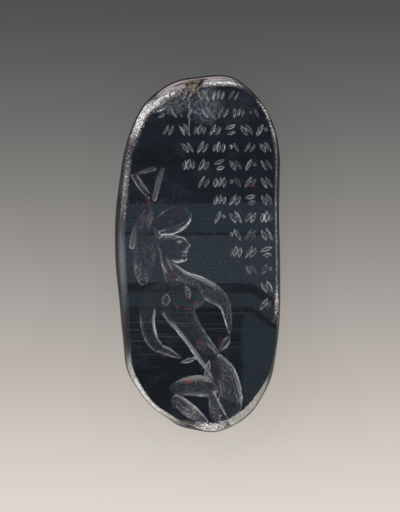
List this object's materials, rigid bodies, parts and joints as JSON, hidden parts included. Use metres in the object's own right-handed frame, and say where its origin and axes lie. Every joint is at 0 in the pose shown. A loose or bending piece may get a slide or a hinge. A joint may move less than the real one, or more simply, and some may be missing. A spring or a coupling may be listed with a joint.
{
  "type": "engraved gem",
  "caption": "Long oval gem of dark banded stone with a bevelled rim, a sunk crouching figure and rows of short strokes in its flat face.",
  "frame": {"origin": "on the flat back, below the middle of the stone's bounding box", "axes": "+Z out of the engraved face, +Y to the top of the figure, +X the way the figure faces"},
  "size_m": [0.0162, 0.035, 0.004],
  "materials": {
    "stone": "polished"
  },
  "bodies": {
    "root": {"engraved_gem": "stone"}
  },
  "joints": []
}
